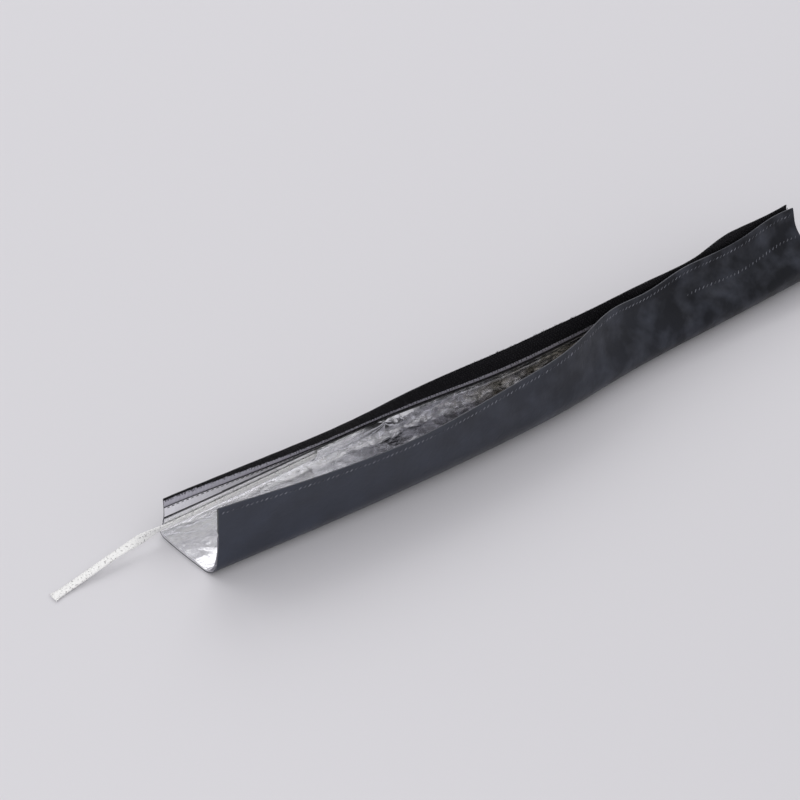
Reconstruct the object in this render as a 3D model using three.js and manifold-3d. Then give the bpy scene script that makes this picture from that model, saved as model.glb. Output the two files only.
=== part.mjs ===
// A hook-and-loop cable sleeve: a black PVC sheet lined with aluminium foil, which wraps round a bundle
// of cables and closes along its top in a fin of hook tape and loop tape. A flat braid of tinned copper
// lies on the foil, goes under a hem of it and stands out of the open end, to be grounded.
// The sleeve lies on a table, open at its mouth like a gutter and pressed shut further along.
// Millimetres and degrees. X runs along the sleeve away from the mouth, Y across it to the back, Z up.
// The origin is on the table, under the middle of the sleeve's length.
import * as THREE from "three";
import { mergeVertices } from "three/addons/utils/BufferGeometryUtils.js";
import Module from "manifold-3d";

const wasm = await Module();
wasm.setup();

// Sizes of the sleeve
const sleeveLength = 380;
const boreDiameter = 25; // the nominal size: the round bundle that the sheet closes on
const finHeight = 13; // what hook tape and loop tape share when the sleeve is full
const pressedHeight = 6; // what of the fin is pressed flat while the sleeve is empty
const planBend = 4.4; // how far the sleeve turns along its length, seen from above

// Thicknesses of the layers, and the air that is left between two of them
const jacketThickness = 0.6;
const foilThickness = 0.15;
const layerGap = 0.2;

// Hook tape and loop tape
const tapeWidth = 16;
const tapeBase = 0.5;
const hookHeight = 1.1;
const hookRows = 5;
const loopHeight = 0.8;
const selvedge = 1.6; // woven edge of a tape, with no hooks or loops
const loopTapeMargin = 1; // the jacket beyond the loop tape
const pressedClearance = 0.3; // between the two faces of the fin where it is shut
const tapeSetback = 0.4; // the hook tape starts this far inside the cut ends

// Back edge of the sheet, down from the top of the hook tape
const foilDrop = 12; // to the foil's edge
const jacketMargin = 1; // bare jacket above the foil
const mouthMargin = 7; // the same at the mouth, where the foil and jacket were trimmed on a slant
const mouthMarginLength = 105;

// Drain braid
const braidWidth = 5.2;
const braidThickness = 0.8;
const braidDrop = 5.6; // from the foil's back edge down to the middle of the braid
const braidEdges = [-0.5, -0.36, 0.36, 0.5]; // it thins towards its two edges, as shares of its width
const braidSides = [0.2, 0.5, 0.5, 0.2]; // half its thickness there, as a share of the whole
const tailLength = 68;
const tailFlatAt = 0.4; // the share of the tail over which it turns flat
const tailGap = 0.3; // between the tail, a solid of its own, and the braid that the sleeve holds
const tailSwing = -6; // how far the tip lies to the front of the place where the tail comes out

// Foil hem, folded down from the foil's back edge over the braid
const hemStart = 84;
const hemWidth = 12;
const hemRise = 0.4; // air under the hem's free edge
const kinkAt = 132; // a kink that stands up in the hem's free edge
const kinkHeight = 3.2;
const kinkLength = 8;

// The cut end
const mouthSlant = 6; // how far the back of the mouth stands out beyond the front wall
const mouthSlantLength = 70;

// The shut part: how wide it stands on the table, and how its walls swing in to the fin
const closedFoot = 10;
const closedCentre = -5; // where its foot lies across, so that the front wall stays in line
const flareTurn = 66;
const finLean = 3; // to the back
const swellAt = 308; // from here on the sleeve is fuller and its fin stands back
const swellLength = 32;
const swellLean = 8;
const finSlip = 0.6; // how far the hook tape stands above the front edge
const leanSway = 1.5; // both go up and down a little along the fin
const slipSway = 2.4;
const swayAt = 305;
const swayLength = 64;
const closingStart = 190;
const closingEnd = 300;

// How finely the sheet is divided
const stationCount = 32;
const placeSpacing = 4.2;

const rad = THREE.MathUtils.degToRad;
const jacketWall = jacketThickness + layerGap + foilThickness;
const tubePerimeter = Math.PI * (boreDiameter + 2 * jacketWall);
const sheetWidth = tubePerimeter + 2 * finHeight;
const girth = sheetWidth - 2 * pressedHeight;
const loopStack = jacketThickness + layerGap + tapeBase + loopHeight;
const backStack = Math.max(hookHeight - layerGap, jacketWall);
const finGap = loopStack + pressedClearance + backStack;

// The sheet's section is a flat foot on the table with a chain of three spans on each side, which goes
// outwards and up: [length, turn] of the lower bend, of the wall and of the edge with its tape.
// Here the open sections, down the sleeve: at the mouth, at the kink and where the edges come near.
function openBend(at, footCentre, front, back) {
  const chain = ([lowerShare, lowerTurn, wallShare, wallTurn, edgeTurn]) => [
    lowerShare * girth,
    lowerTurn,
    wallShare * girth,
    wallTurn,
    pressedHeight,
    edgeTurn,
  ];
  return { at, row: [footCentre, ...chain(front), ...chain(back)] };
}

const openBends = [
  openBend(0, 5, [0.15, 88, 0.31, 0, 0], [0.06, 120, 0.16, -32, 0]),
  openBend(105, 2, [0.23, 82, 0.22, 6, 0], [0.11, 116, 0.15, -6, 0]),
  openBend(190, -2, [0.28, 98, 0.18, 2, -4], [0.19, 155, 0.13, -86, -18]),
  openBend(285, -5, [0.31, 118, 0.18, -12, -4], [0.24, 150, 0.17, -80, -18]),
];
const openCurve = new THREE.CubicInterpolant(
  openBends.map((bend) => bend.at),
  openBends.flatMap((bend) => bend.row),
  openBends[0].row.length,
);

// The shut section is a bulb with a flat foot, two flares that swing back and a straight fin. The two
// radii follow from the width of the sheet and from the gap that the tapes need in the fin.
function closedRow(s) {
  const sway = Math.cos((2 * Math.PI * (s - swayAt)) / swayLength);
  const swell = THREE.MathUtils.smoothstep(s, swellAt, swellAt + swellLength);
  const lean = finLean + leanSway * sway + swellLean * swell;
  const slip = finSlip - slipSway * sway;
  const flare = rad(flareTurn);
  const halfGap = (finGap / Math.cos(rad(lean)) - closedFoot) / 2;
  const bulbTurn = Math.PI / 2 + flare;
  const inward = (1 - Math.cos(flare)) / Math.cos(flare);
  const flareRadius =
    (girth - closedFoot - (2 * bulbTurn * halfGap) / Math.cos(flare)) /
    (2 * bulbTurn * inward + 2 * flare);
  const bulbRadius = (halfGap + flareRadius * (1 - Math.cos(flare))) / Math.cos(flare);
  const side = (leanTurn, edgeSlip) => [
    bulbRadius * (bulbTurn + rad(leanTurn)),
    90 + flareTurn + leanTurn,
    flareRadius * flare,
    -flareTurn,
    pressedHeight + edgeSlip,
    0,
  ];
  return [closedCentre, ...side(lean, -slip / 2), ...side(-lean, slip / 2)];
}

function bendRow(s) {
  const shut = THREE.MathUtils.smootherstep(s, closingStart, closingEnd);
  const closed = closedRow(s);
  return [...openCurve.evaluate(s)].map((open, i) => THREE.MathUtils.lerp(open, closed[i], shut));
}

// Follows a chain of [length, turn] spans from the foot, and returns place and heading at distance u
function followChain(chain, u) {
  let y = 0;
  let z = 0;
  let heading = 0;
  let left = u;
  for (const [length, turn] of chain) {
    const run = Math.min(left, length);
    const curvature = rad(turn) / length;
    const next = heading + curvature * run;
    if (Math.abs(curvature) < 1e-6) {
      y += run * Math.cos(heading);
      z += run * Math.sin(heading);
    } else {
      y += (Math.sin(next) - Math.sin(heading)) / curvature;
      z += (Math.cos(heading) - Math.cos(next)) / curvature;
    }
    heading = next;
    left -= run;
  }
  y += left * Math.cos(heading);
  z += left * Math.sin(heading);
  return { y, z, heading };
}

// The point of the section at s that is u from the sheet's front edge and d inside the jacket's outer
// face. Y counts from the middle of the foot.
function sectionPoint(s, u, d) {
  const row = bendRow(s);
  const chain = (from) => [0, 2, 4].map((i) => [row[from + i], row[from + i + 1]]);
  const reach = (spans) => spans.reduce((sum, [length]) => sum + length, 0);
  const footCentre = row[0];
  const front = chain(1);
  const back = chain(7);
  const footStart = reach(front);
  const footEnd = sheetWidth - reach(back);
  const halfFoot = (footEnd - footStart) / 2;
  if (u < footStart) {
    const p = followChain(front, footStart - u);
    return [footCentre - halfFoot - p.y + d * Math.sin(p.heading), p.z + d * Math.cos(p.heading)];
  }
  if (u > footEnd) {
    const p = followChain(back, u - footEnd);
    return [footCentre + halfFoot + p.y - d * Math.sin(p.heading), p.z + d * Math.cos(p.heading)];
  }
  return [footCentre + u - footStart - halfFoot, d];
}

// Seen from above the sleeve's line is an arc. Carries a point of a section to its place along it.
function placeAlong(s, [y, z]) {
  const radius = sleeveLength / rad(planBend);
  const turn = (s - sleeveLength / 2) / radius;
  return new THREE.Vector3((radius - y) * Math.sin(turn), radius - (radius - y) * Math.cos(turn), z);
}

function steps(from, to, count) {
  return Array.from({ length: count + 1 }, (_, i) => from + ((to - from) * i) / count);
}

const foilBackEdge = sheetWidth - foilDrop;
const loopTapeEdge = loopTapeMargin + tapeWidth;
const foilFrontEdge = loopTapeEdge + layerGap;
const pileStart = loopTapeMargin + selvedge;
const pileEnd = loopTapeEdge - selvedge;
const pileBevel = loopHeight / 2;
const hookTapeEdge = sheetWidth - tapeWidth;
const braidPlaces = braidEdges.map((share) => foilBackEdge - braidDrop + share * braidWidth);
const hemFreeEdge = foilBackEdge - hemWidth;
const hemBraidEdge = braidPlaces[0] - layerGap;
const hemFold = foilBackEdge - foilThickness;

// Every layer is bent along the same lines, so that none cuts through its neighbour: the edges of all
// the layers, and lines between them where they are far apart.
const stations = steps(0, sleeveLength, stationCount);
const edges = [
  0,
  loopTapeMargin,
  pileStart,
  pileStart + pileBevel,
  pileEnd - pileBevel,
  pileEnd,
  loopTapeEdge,
  foilFrontEdge,
  hemFreeEdge,
  hemBraidEdge,
  ...braidPlaces,
  hookTapeEdge,
  hemFold,
  foilBackEdge,
  sheetWidth - pressedHeight,
  sheetWidth,
].sort((a, b) => a - b);
const places = edges.flatMap((edge, i) => {
  if (i === edges.length - 1) return [edge];
  const gap = edges[i + 1] - edge;
  return steps(edge, edges[i + 1], Math.ceil(gap / placeSpacing)).slice(0, -1);
});

function cellOf(value, list) {
  let cell = 0;
  while (cell < list.length - 2 && value > list[cell + 1]) cell++;
  return { cell, share: (value - list[cell]) / (list[cell + 1] - list[cell]) };
}

// The mouth was cut on a slant: the back edge stands out from it, and the lines nearby follow
function slantedStation(s, u) {
  const back = THREE.MathUtils.smoothstep(u, loopTapeEdge, hemFreeEdge);
  return s - mouthSlant * back * (1 - THREE.MathUtils.smoothstep(s, 0, mouthSlantLength));
}

const cornerCache = new Map();
function corner(station, place, d) {
  const key = `${station} ${place} ${d}`;
  if (!cornerCache.has(key)) {
    const s = slantedStation(stations[station], places[place]);
    cornerCache.set(key, placeAlong(s, sectionPoint(Math.max(s, 0), places[place], d)));
  }
  return cornerCache.get(key);
}

function sheetPoint(s, u, d) {
  const along = cellOf(s, stations);
  const across = cellOf(u, places);
  const row = [0, 1].map((i) =>
    new THREE.Vector3().lerpVectors(
      corner(along.cell + i, across.cell, d),
      corner(along.cell + i, across.cell + 1, d),
      across.share,
    ),
  );
  return row[0].lerp(row[1], along.share);
}

// A closed solid between two faces, each a grid of points: one row for each station along the sleeve
function solidBetween(inner, outer) {
  const rows = inner.length;
  const columns = inner[0].length;
  const index = [];
  const at = (face, row, column) => (face * rows + row) * columns + column;
  const quad = (a, b, c, d) => index.push(a, b, c, a, c, d);
  const lastRow = rows - 1;
  const lastColumn = columns - 1;
  for (let r = 0; r < lastRow; r++) {
    for (let c = 0; c < lastColumn; c++) {
      quad(at(0, r, c), at(0, r + 1, c), at(0, r + 1, c + 1), at(0, r, c + 1));
      quad(at(1, r, c), at(1, r, c + 1), at(1, r + 1, c + 1), at(1, r + 1, c));
    }
    quad(at(0, r, 0), at(1, r, 0), at(1, r + 1, 0), at(0, r + 1, 0));
    quad(at(0, r, lastColumn), at(0, r + 1, lastColumn), at(1, r + 1, lastColumn), at(1, r, lastColumn));
  }
  for (let c = 0; c < lastColumn; c++) {
    quad(at(0, 0, c), at(0, 0, c + 1), at(1, 0, c + 1), at(1, 0, c));
    quad(at(0, lastRow, c), at(1, lastRow, c), at(1, lastRow, c + 1), at(0, lastRow, c + 1));
  }
  const points = [inner, outer].flat(2).flatMap((p) => p.toArray());
  return new THREE.BufferGeometry()
    .setAttribute("position", new THREE.Float32BufferAttribute(points, 3))
    .setIndex(index);
}

// A layer of the sheet: across(s) gives its places from front to back, inside(s, u) and outside(s, u)
// the depths of its two faces.
function faceRows(layerStations, across, depth) {
  return layerStations.map((s) => across(s).map((u) => sheetPoint(s, u, depth(s, u))));
}

function layer(layerStations, across, inside, outside) {
  return solidBetween(
    faceRows(layerStations, across, inside),
    faceRows(layerStations, across, outside),
  );
}

// The sheet's lines from one edge to another
function placesBetween(from, to) {
  return places.filter((u) => u >= from && u <= to);
}

function jacketBackEdge(s) {
  const inward = THREE.MathUtils.smoothstep(s, 0, mouthMarginLength);
  return foilBackEdge + THREE.MathUtils.lerp(mouthMargin, jacketMargin, inward);
}

function makeJacket() {
  const fixed = placesBetween(0, foilBackEdge);
  const across = (s) => [...fixed, jacketBackEdge(s)];
  return layer(stations, across, () => jacketThickness, () => 0);
}

const foilFace = jacketThickness + layerGap;
const foilInside = foilFace + foilThickness;
const braidFace = foilInside + layerGap;
const hemFace = braidFace + braidThickness + layerGap;

function toManifold(geometry) {
  const merged = mergeVertices(geometry, 1e-4);
  return new wasm.Manifold(
    new wasm.Mesh({
      numProp: 3,
      vertProperties: new Float32Array(merged.getAttribute("position").array),
      triVerts: new Uint32Array(merged.getIndex().array),
    }),
  );
}

function toGeometry(solid) {
  const { vertProperties, triVerts } = solid.getMesh();
  return new THREE.BufferGeometry()
    .setAttribute("position", new THREE.Float32BufferAttribute(vertProperties, 3))
    .setIndex([...triVerts]);
}

// The hem's free edge lies close to the lining, apart from the kink that stands up in it
function makeHem() {
  const hemStations = [hemStart, ...stations.filter((s) => s > hemStart)];
  const across = () => placesBetween(hemFreeEdge, foilBackEdge);
  const lower = (s, u) => {
    if (u === foilBackEdge) return foilFace;
    const share = Math.min(1, (u - hemFreeEdge) / (hemBraidEdge - hemFreeEdge));
    const kink = kinkHeight * Math.exp(-(((s - kinkAt) / kinkLength) ** 2));
    const edge = foilInside + hemRise;
    return THREE.MathUtils.lerp(edge, hemFace, share) + (1 - share) * kink;
  };
  const upper = (s, u) => (u === foilBackEdge ? hemFace : lower(s, u)) + foilThickness;
  return layer(hemStations, across, upper, lower);
}

function makeFoilLining() {
  const across = () => placesBetween(foilFrontEdge, foilBackEdge);
  const lining = layer(stations, across, () => foilInside, () => foilFace);
  return toGeometry(toManifold(lining).add(toManifold(makeHem())));
}

function makeLoopTape() {
  const across = () => placesBetween(loopTapeMargin, loopTapeEdge);
  const base = foilFace + tapeBase;
  const inside = (s, u) => (u > pileStart && u < pileEnd ? base + loopHeight : base);
  return layer(stations, across, inside, () => foilFace);
}

// The hook tape is sewn behind the jacket's edge. Its rows of hooks stand where it is bare.
function makeHookTape() {
  const fieldEnd = sheetWidth - selvedge / 2;
  const tapeStations = [
    tapeSetback,
    ...stations.filter((s) => s > tapeSetback && s < sleeveLength - tapeSetback),
    sleeveLength - tapeSetback,
  ];
  const seam = placesBetween(hookTapeEdge, foilBackEdge).map((u) => [u, 0]);
  const columns = (s) => {
    const fieldStart = jacketBackEdge(s) + selvedge;
    const pitch = (fieldEnd - fieldStart) / hookRows;
    const row = (i) => [[0, 0], [0.25, 1], [0.65, 1], [0.9, 0]].map(([share, standing]) => [
      fieldStart + (i + share) * pitch,
      standing * hookHeight,
    ]);
    const field = Array.from({ length: hookRows }, (_, i) => row(i)).flat();
    return [...seam, ...field, [fieldEnd, 0], [sheetWidth, 0]];
  };
  const rows = (depth) =>
    tapeStations.map((s) => columns(s).map(([u, height]) => sheetPoint(s, u, depth(height))));
  return solidBetween(
    rows((height) => height - layerGap),
    rows(() => -layerGap - tapeBase),
  );
}

function braidDepth(side) {
  return (s, u) => braidFace + (0.5 + side * braidSides[braidPlaces.indexOf(u)]) * braidThickness;
}

function makeDrainBraid() {
  const heldStations = [tailGap, ...stations.filter((s) => s > tailGap)];
  return layer(heldStations, () => braidPlaces, braidDepth(1), braidDepth(-1));
}

// Outside the mouth the braid turns flat and comes down to the table in an even curve
function tailRows(side) {
  const middle = foilBackEdge - braidDrop;
  const depth = braidFace + braidThickness / 2;
  const start = sheetPoint(0, middle, depth);
  const up = sheetPoint(0, middle + 1, depth).sub(start).normalize();
  const inward = sheetPoint(0, middle, depth + 1).sub(start).normalize();
  const count = 12;
  const heading = rad(planBend) / 2;
  return steps(count, 0, count).map((i) => {
    const share = i / count;
    const fall = share * share * (3 - 2 * share);
    const along = share * tailLength;
    const swing = tailSwing * share * share;
    const centre = new THREE.Vector3(
      start.x - along * Math.cos(heading) + swing * Math.sin(heading),
      start.y + along * Math.sin(heading) + swing * Math.cos(heading),
      THREE.MathUtils.lerp(start.z, braidThickness / 2, fall),
    );
    const turn = (Math.PI / 2) * THREE.MathUtils.smoothstep(share, 0, tailFlatAt);
    const flatAcross = new THREE.Vector3(0, 1, 0);
    const flatUp = new THREE.Vector3(0, 0, 1);
    const acrossWay = up.clone().multiplyScalar(Math.cos(turn)).addScaledVector(flatAcross, Math.sin(turn));
    const upWay = inward.clone().multiplyScalar(Math.cos(turn)).addScaledVector(flatUp, Math.sin(turn));
    return braidEdges.map((edge, column) =>
      centre
        .clone()
        .addScaledVector(acrossWay.normalize(), edge * braidWidth)
        .addScaledVector(upWay.normalize(), side * braidSides[column] * braidThickness),
    );
  });
}

function makeBraidTail() {
  return solidBetween(tailRows(1), tailRows(-1));
}

const part = new THREE.Group();
function addNode(name, geometry, look) {
  const mesh = new THREE.Mesh(geometry, new THREE.MeshStandardMaterial(look));
  mesh.name = name;
  part.add(mesh);
}

addNode("jacket", makeJacket(), { color: 0x1c1d22, roughness: 0.45, metalness: 0 });
addNode("foil_lining", makeFoilLining(), { color: 0xd8dade, roughness: 0.25, metalness: 1 });
addNode("loop_tape", makeLoopTape(), { color: 0x141416, roughness: 0.95, metalness: 0 });
addNode("hook_tape", makeHookTape(), { color: 0x19191b, roughness: 0.8, metalness: 0 });
addNode("drain_braid", makeDrainBraid(), { color: 0xd9d8d2, roughness: 0.35, metalness: 1 });
addNode("braid_tail", makeBraidTail(), { color: 0xd9d8d2, roughness: 0.35, metalness: 1 });

export default part;
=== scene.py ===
# %% [markdown]
# # A shielded cable sleeve that closes with hook and loop tape
# The real thing is one long strip: black PVC outside, crinkled aluminium foil inside, hook tape sewn
# to one edge and loop tape to the other. Wrapped round cables, the two tapes press together in a fin.
# A flat braid of tinned copper lies on the foil and its bare end comes out, to be grounded.
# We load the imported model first. It is the frame that every piece here is fitted to.

import math

import bpy
import numpy as np
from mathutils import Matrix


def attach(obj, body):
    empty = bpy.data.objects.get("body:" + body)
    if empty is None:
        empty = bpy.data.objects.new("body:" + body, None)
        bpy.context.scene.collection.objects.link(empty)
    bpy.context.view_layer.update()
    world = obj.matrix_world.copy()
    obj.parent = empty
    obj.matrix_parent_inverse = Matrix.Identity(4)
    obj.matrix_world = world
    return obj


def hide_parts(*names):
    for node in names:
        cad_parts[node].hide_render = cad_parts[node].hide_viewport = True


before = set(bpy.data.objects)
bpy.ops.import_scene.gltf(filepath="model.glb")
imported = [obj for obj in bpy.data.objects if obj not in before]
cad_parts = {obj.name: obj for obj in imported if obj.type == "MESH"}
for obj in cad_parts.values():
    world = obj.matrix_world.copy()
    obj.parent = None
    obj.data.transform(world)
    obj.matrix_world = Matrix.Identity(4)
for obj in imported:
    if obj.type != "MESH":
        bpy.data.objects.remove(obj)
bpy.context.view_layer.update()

# %% [markdown]
# ## The camera
# A long lens from 2.5 m flattens the perspective, as on a product photo. It looks down at 40 degrees
# and sees the open mouth at the left and the shut length running off to the right.

# %% Place the camera
camera_data = bpy.data.cameras.new("camera")
camera_data.lens = 231.75
camera_data.sensor_width = 36.0
camera_data.clip_end = 50.0
camera = bpy.data.objects.new("camera", camera_data)
camera.location = (-1.2479, -1.5547, 1.6778)
camera.rotation_euler = (math.radians(50.0), 0.0, math.radians(-37.2))
bpy.context.scene.collection.objects.link(camera)
bpy.context.scene.camera = camera
bpy.context.scene.view_settings.view_transform = "Standard"
print("camera at", tuple(round(v, 3) for v in camera.location))

# %% [markdown]
# ## The shape of the sheet
# Every layer follows one bent sheet, so we describe that sheet once. A point of it has three numbers:
# `s` is how far it lies from the mouth, `u` how far from the front edge measured round the sheet, and
# `d` how deep inside the jacket's outer face, all in millimetres. The sheet has a flat foot, and on
# each side a chain of three arcs, which hardly changes from one section to the next.

# %% Sizes of the sleeve in millimetres, as in the CAD model
sleeve_length = 380.0
bore_diameter = 25.0
fin_height = 13.0
pressed_height = 6.0
plan_bend = 4.4
jacket_thickness = 0.6
foil_thickness = 0.15
layer_gap = 0.2
tape_width = 16.0
tape_base = 0.5
hook_height = 1.1
loop_height = 0.8
selvedge = 1.6
loop_tape_margin = 1.0
tape_setback = 0.4
pressed_clearance = 0.3
foil_drop = 12.0
jacket_margin = 1.0
mouth_margin = 7.0
mouth_margin_length = 105.0
braid_width = 5.2
braid_thickness = 0.8
braid_drop = 5.6
tail_length = 68.0
tail_swing = -6.0
tail_flat_at = 0.4
hem_start = 84.0
hem_width = 12.0
hem_rise = 0.4
kink_at = 132.0
kink_height = 2.4
kink_length = 9.0
kink_rays_before = 9.0
bare_at_mouth = 2.0
mouth_slant = 6.0
mouth_slant_length = 70.0
closed_foot = 10.0
closed_centre = -5.0
flare_turn = 66.0
fin_lean = 3.0
swell_at = 308.0
swell_length = 32.0
swell_lean = 8.0
fin_slip = 0.6
lean_sway = 1.5
slip_sway = 2.4
sway_at = 305.0
sway_length = 64.0
closing_start = 190.0
closing_end = 300.0

jacket_wall = jacket_thickness + layer_gap + foil_thickness
sheet_width = math.pi * (bore_diameter + 2 * jacket_wall) + 2 * fin_height
girth = sheet_width - 2 * pressed_height
loop_stack = jacket_thickness + layer_gap + tape_base + loop_height
fin_gap = loop_stack + pressed_clearance + max(hook_height - layer_gap, jacket_wall)
foil_face = jacket_thickness + layer_gap
foil_inside = foil_face + foil_thickness
braid_face = foil_inside + layer_gap
hem_face = braid_face + braid_thickness + layer_gap
foil_back_edge = sheet_width - foil_drop
loop_tape_edge = loop_tape_margin + tape_width
foil_front_edge = loop_tape_edge + layer_gap
hook_tape_edge = sheet_width - tape_width
hem_free_edge = foil_back_edge - hem_width
braid_middle = foil_back_edge - braid_drop
print("the sheet is", round(sheet_width, 1), "mm wide before it is bent")

# %% The bends of the open sections
open_places = np.array([0.0, 105.0, 190.0, 285.0])


def open_bend(foot_centre, front, back):
    row = [foot_centre]
    for lower_share, lower_turn, wall_share, wall_turn, edge_turn in (front, back):
        row += [lower_share * girth, lower_turn, wall_share * girth, wall_turn, pressed_height, edge_turn]
    return row


open_rows = np.array([
    open_bend(5, (0.15, 88, 0.31, 0, 0), (0.06, 120, 0.16, -32, 0)),
    open_bend(2, (0.23, 82, 0.22, 6, 0), (0.11, 116, 0.15, -6, 0)),
    open_bend(-2, (0.28, 98, 0.18, 2, -4), (0.19, 155, 0.13, -86, -18)),
    open_bend(-5, (0.31, 118, 0.18, -12, -4), (0.24, 150, 0.17, -80, -18)),
])


def smooth_step(x, low, high):
    x = np.clip((x - low) / (high - low), 0.0, 1.0)
    return x * x * (3 - 2 * x)


def smoother_step(x, low, high):
    x = np.clip((x - low) / (high - low), 0.0, 1.0)
    return x * x * x * (x * (x * 6 - 15) + 10)


def open_row(s):
    """A smooth curve through the four open sections, which holds its ends."""
    if s <= open_places[0]:
        return open_rows[0]
    if s >= open_places[-1]:
        return open_rows[-1]
    after = int(np.searchsorted(open_places, s, side="right"))
    t0, t1 = open_places[after - 1], open_places[after]
    before = after - 2 if after > 1 else after
    beyond = after + 1 if after + 1 < len(open_places) else after - 1
    before_row, before_place = open_rows[before], open_places[before]
    next_row, next_place = open_rows[beyond], open_places[beyond]
    half = (t1 - t0) / 2
    w0, w1 = half / (t0 - before_place), half / (next_place - t1)
    p = (s - t0) / (t1 - t0)
    return (
        (-w0 * p**3 + 2 * w0 * p**2 - w0 * p) * before_row
        + ((1 + w0) * p**3 + (-1.5 - 2 * w0) * p**2 + (-0.5 + w0) * p + 1) * open_rows[after - 1]
        + ((-1 - w1) * p**3 + (1.5 + w1) * p**2 + 0.5 * p) * open_rows[after]
        + (w1 * p**3 - w1 * p**2) * next_row
    )


# %% The shut section: a bulb with a flat foot, two flares and a straight fin
def closed_row(s):
    sway = math.cos(2 * math.pi * (s - sway_at) / sway_length)
    lean = fin_lean + lean_sway * sway + swell_lean * smooth_step(s, swell_at, swell_at + swell_length)
    slip = fin_slip - slip_sway * sway
    flare = math.radians(flare_turn)
    half_gap = (fin_gap / math.cos(math.radians(lean)) - closed_foot) / 2
    bulb_turn = math.pi / 2 + flare
    inward = (1 - math.cos(flare)) / math.cos(flare)
    flare_radius = (girth - closed_foot - 2 * bulb_turn * half_gap / math.cos(flare)) / (
        2 * bulb_turn * inward + 2 * flare
    )
    bulb_radius = (half_gap + flare_radius * (1 - math.cos(flare))) / math.cos(flare)
    row = [closed_centre]
    for lean_turn, edge_slip in ((lean, -slip / 2), (-lean, slip / 2)):
        row += [bulb_radius * (bulb_turn + math.radians(lean_turn)), 90 + flare_turn + lean_turn]
        row += [flare_radius * flare, -flare_turn, pressed_height + edge_slip, 0]
    return np.array(row)


def bend_row(s):
    shut = float(smoother_step(s, closing_start, closing_end))
    return (1 - shut) * open_row(s) + shut * closed_row(s)


# %% Follow a chain of arcs, and find the sheet at a fine grid of places
def follow_chain(chain, reach):
    y = np.zeros_like(reach)
    z = np.zeros_like(reach)
    heading = np.zeros_like(reach)
    left = reach.copy()
    for length, turn in chain:
        run = np.minimum(left, length)
        curve = math.radians(turn) / length
        ahead = heading + curve * run
        if abs(curve) < 1e-6:
            y += run * np.cos(heading)
            z += run * np.sin(heading)
        else:
            y += (np.sin(ahead) - np.sin(heading)) / curve
            z += (np.cos(heading) - np.cos(ahead)) / curve
        heading = ahead
        left = left - run
    return y + left * np.cos(heading), z + left * np.sin(heading), heading


def section(s, u):
    """Place (y, z) and inward direction (y, z) of the sheet's outer face at s, for all of u."""
    row = bend_row(s)
    front, back = row[1:7].reshape(3, 2), row[7:13].reshape(3, 2)
    foot_start, foot_end = front[:, 0].sum(), sheet_width - back[:, 0].sum()
    half_foot = (foot_end - foot_start) / 2
    fy, fz, fh = follow_chain(front, np.maximum(foot_start - u, 0))
    by, bz, bh = follow_chain(back, np.maximum(u - foot_end, 0))
    on_front, on_back = u < foot_start, u > foot_end
    y = row[0] + u - foot_start - half_foot
    y = np.where(on_front, row[0] - half_foot - fy, np.where(on_back, row[0] + half_foot + by, y))
    z = np.where(on_front, fz, np.where(on_back, bz, 0.0))
    ny = np.where(on_front, np.sin(fh), np.where(on_back, -np.sin(bh), 0.0))
    nz = np.where(on_front, np.cos(fh), np.where(on_back, np.cos(bh), 1.0))
    return y, z, ny, nz


grid_start, grid_step_s, grid_step_u = -8.0, 1.0, 0.5
grid_s = np.arange(grid_start, sleeve_length + 2, grid_step_s)
grid_u = np.append(np.arange(0, sheet_width, grid_step_u), sheet_width + 0.5)
section_grid = np.array([section(max(s, 0.0), np.minimum(grid_u, sheet_width)) for s in grid_s])
print("sections worked out:", len(grid_s), "of", len(grid_u), "places each")


# %% From (s, u, d) to a place in space
def slanted(s, u):
    """The mouth was cut on a slant, so its back edge stands out."""
    back = smooth_step(u, loop_tape_edge, hem_free_edge)
    return s - mouth_slant * back * (1 - smooth_step(s, 0, mouth_slant_length))


def sheet_frame(s, u):
    """Places on the outer face and their inward directions, in millimetres."""
    s, u = np.broadcast_arrays(np.asarray(s, float), np.asarray(u, float))
    along = slanted(s, u)
    i = (along - grid_start) / grid_step_s
    j = np.clip(u, 0, sheet_width) / grid_step_u
    i0 = np.clip(np.floor(i).astype(int), 0, len(grid_s) - 2)
    j0 = np.clip(np.floor(j).astype(int), 0, len(grid_u) - 2)
    fi, fj = (i - i0)[..., None], (j - j0)[..., None]
    corners = section_grid.transpose(0, 2, 1)
    mixed = (
        corners[i0, j0] * (1 - fi) * (1 - fj) + corners[i0 + 1, j0] * fi * (1 - fj)
        + corners[i0, j0 + 1] * (1 - fi) * fj + corners[i0 + 1, j0 + 1] * fi * fj
    )
    y, z, ny, nz = (mixed[..., k] for k in range(4))
    length = np.sqrt(ny**2 + nz**2)
    radius = sleeve_length / math.radians(plan_bend)
    turn = (along - sleeve_length / 2) / radius
    place = np.stack([(radius - y) * np.sin(turn), radius - (radius - y) * np.cos(turn), z], -1)
    inward = np.stack([-ny / length * np.sin(turn), ny / length * np.cos(turn), nz / length], -1)
    return place, inward


def sheet_at(s, u, d):
    place, inward = sheet_frame(s, u)
    return place + np.asarray(d, float)[..., None] * inward


print("back corner of the mouth:", np.round(sheet_at(0.0, foil_back_edge, 0.0), 2))

# %% [markdown]
# ## Small unevenness
# Nothing soft is perfectly even. One slow wave moves all the layers together, so that they never cut
# each other, and the foil alone gets sharp creases. Crumpled foil is made of small flat facets: each
# seed below is a little pyramid with its own turn, and the lowest pyramid wins at every point.

# %% Slow waves and sharp creases
def slow_wave(s, u, size, seed):
    rng = np.random.default_rng(seed)
    total = np.zeros(np.broadcast(s, u).shape)
    for _ in range(7):
        angle, phase = rng.uniform(0, math.pi), rng.uniform(0, 2 * math.pi)
        length = size * rng.uniform(0.7, 1.8)
        total += np.sin(2 * math.pi * (s * math.cos(angle) + u * math.sin(angle)) / length + phase)
    return total / 7


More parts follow.
